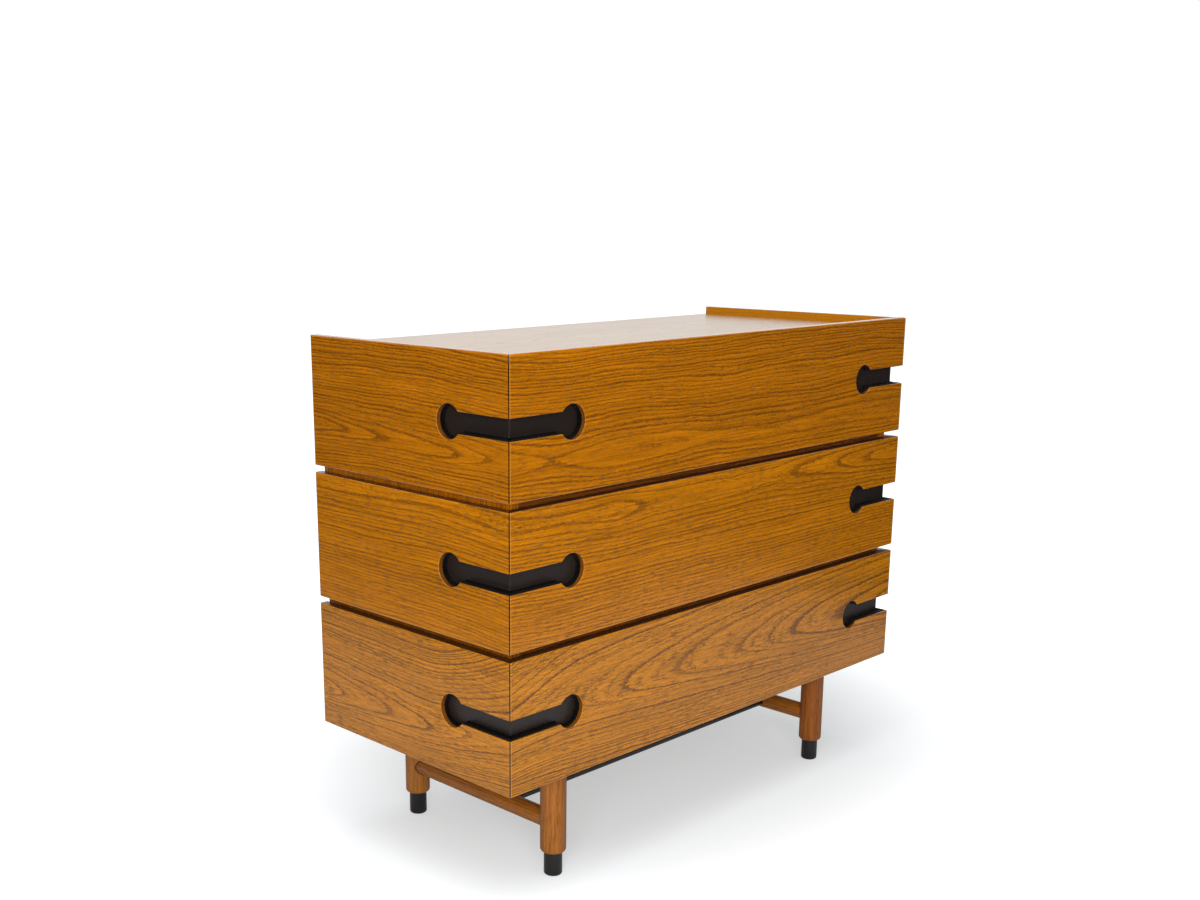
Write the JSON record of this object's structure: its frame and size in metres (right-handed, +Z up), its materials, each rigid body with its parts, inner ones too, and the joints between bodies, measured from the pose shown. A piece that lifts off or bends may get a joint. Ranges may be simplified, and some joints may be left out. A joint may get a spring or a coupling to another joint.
{
  "type": "chest of drawers",
  "caption": "Low wide chest of drawers on round legs; mitred wrap-round drawer shells with dog-bone finger slots at the front corners slide over a recessed carcass.",
  "frame": {"origin": "on the floor, below the middle of the chest", "axes": "+Z up, drawer fronts face -Y, +X to the right of someone facing the fronts"},
  "size_m": [1, 0.452, 0.8322],
  "materials": {
    "oak_veneer": "satin lacquer over honey oak veneer",
    "turned_oak": "satin lacquer",
    "carcass_oak": "satin lacquer",
    "drawer_beech": "waxed",
    "plywood": "matt",
    "dark_steel": "satin black-brown lacquer",
    "black_steel": "satin black lacquer",
    "bright_steel": "zinc plated"
  },
  "bodies": {
    "carcass": {"carcass_side_left": "carcass_oak", "carcass_side_right": "carcass_oak", "tabletop": "oak_veneer", "bottom_board": "carcass_oak", "back_panel": "plywood", "back_panel_screws": "bright_steel", "front_rail_lower": "carcass_oak", "rear_rail_lower": "carcass_oak", "runner_lower_left": "carcass_oak", "runner_lower_right": "carcass_oak", "front_rail_upper": "carcass_oak", "rear_rail_upper": "carcass_oak", "runner_upper_left": "carcass_oak", "runner_upper_right": "carcass_oak", "drawer_stops": "carcass_oak", "leg_front_left": "turned_oak", "leg_front_right": "turned_oak", "leg_rear_left": "turned_oak", "leg_rear_right": "turned_oak", "feet": "black_steel", "side_stretcher_left": "turned_oak", "side_stretcher_right": "turned_oak", "crossbar_front": "black_steel", "crossbar_rear": "black_steel", "leg_plates": "black_steel", "leg_bolts": "black_steel", "leg_plate_screws": "bright_steel"},
    "bottom_drawer": {"bottom_drawer_front": "oak_veneer", "bottom_drawer_side_panel_left": "oak_veneer", "bottom_drawer_side_panel_right": "oak_veneer", "bottom_drawer_corner_plate_left": "dark_steel", "bottom_drawer_corner_plate_right": "dark_steel", "bottom_drawer_plate_screws": "bright_steel", "bottom_drawer_box_front": "drawer_beech", "bottom_drawer_box_side_left": "drawer_beech", "bottom_drawer_box_side_right": "drawer_beech", "bottom_drawer_box_back": "drawer_beech", "bottom_drawer_box_bottom": "plywood"},
    "middle_drawer": {"middle_drawer_front": "oak_veneer", "middle_drawer_side_panel_left": "oak_veneer", "middle_drawer_side_panel_right": "oak_veneer", "middle_drawer_corner_plate_left": "dark_steel", "middle_drawer_corner_plate_right": "dark_steel", "middle_drawer_plate_screws": "bright_steel", "middle_drawer_box_front": "drawer_beech", "middle_drawer_box_side_left": "drawer_beech", "middle_drawer_box_side_right": "drawer_beech", "middle_drawer_box_back": "drawer_beech", "middle_drawer_box_bottom": "plywood"},
    "top_drawer": {"top_drawer_front": "oak_veneer", "top_drawer_side_panel_left": "oak_veneer", "top_drawer_side_panel_right": "oak_veneer", "top_drawer_corner_plate_left": "dark_steel", "top_drawer_corner_plate_right": "dark_steel", "top_drawer_plate_screws": "bright_steel", "top_drawer_box_front": "drawer_beech", "top_drawer_box_side_left": "drawer_beech", "top_drawer_box_side_right": "drawer_beech", "top_drawer_box_back": "drawer_beech", "top_drawer_box_bottom": "plywood"}
  },
  "joints": [
    {"name": "bottom_drawer_slide", "type": "slide", "parent": "carcass", "child": "bottom_drawer", "axis": [0, -1, 0], "range_m": [0, 0.32]},
    {"name": "middle_drawer_slide", "type": "slide", "parent": "carcass", "child": "middle_drawer", "axis": [0, -1, 0], "range_m": [0, 0.32]},
    {"name": "top_drawer_slide", "type": "slide", "parent": "carcass", "child": "top_drawer", "axis": [0, -1, 0], "range_m": [0, 0.32]}
  ]
}
